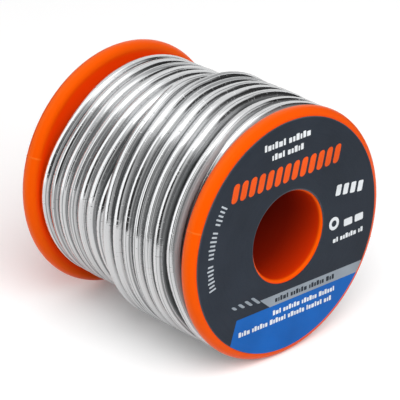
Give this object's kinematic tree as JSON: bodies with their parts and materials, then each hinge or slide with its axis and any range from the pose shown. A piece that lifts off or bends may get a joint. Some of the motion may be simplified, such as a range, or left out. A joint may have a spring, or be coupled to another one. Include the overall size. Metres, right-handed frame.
{
  "type": "solder wire spool",
  "caption": "Orange plastic spool full of bright solder wire, with a round dark printed label on its front flange and a plain bore through its middle.",
  "frame": {"origin": "middle of the bore, half way between the outer faces of the flanges", "axes": "Y is the spool's axis, the labelled flange faces -Y and +Z is the top of the label"},
  "size_m": [0.057, 0.0552, 0.057],
  "materials": {
    "spool_plastic": "smooth moulded orange polypropylene",
    "printed_label": "printed film with a satin surface",
    "solder_wire": "bright drawn tin alloy wire"
  },
  "bodies": {
    "root": {"spool": "spool_plastic", "label": "printed_label", "inner_winding": "solder_wire", "outer_winding": "solder_wire"}
  },
  "joints": []
}
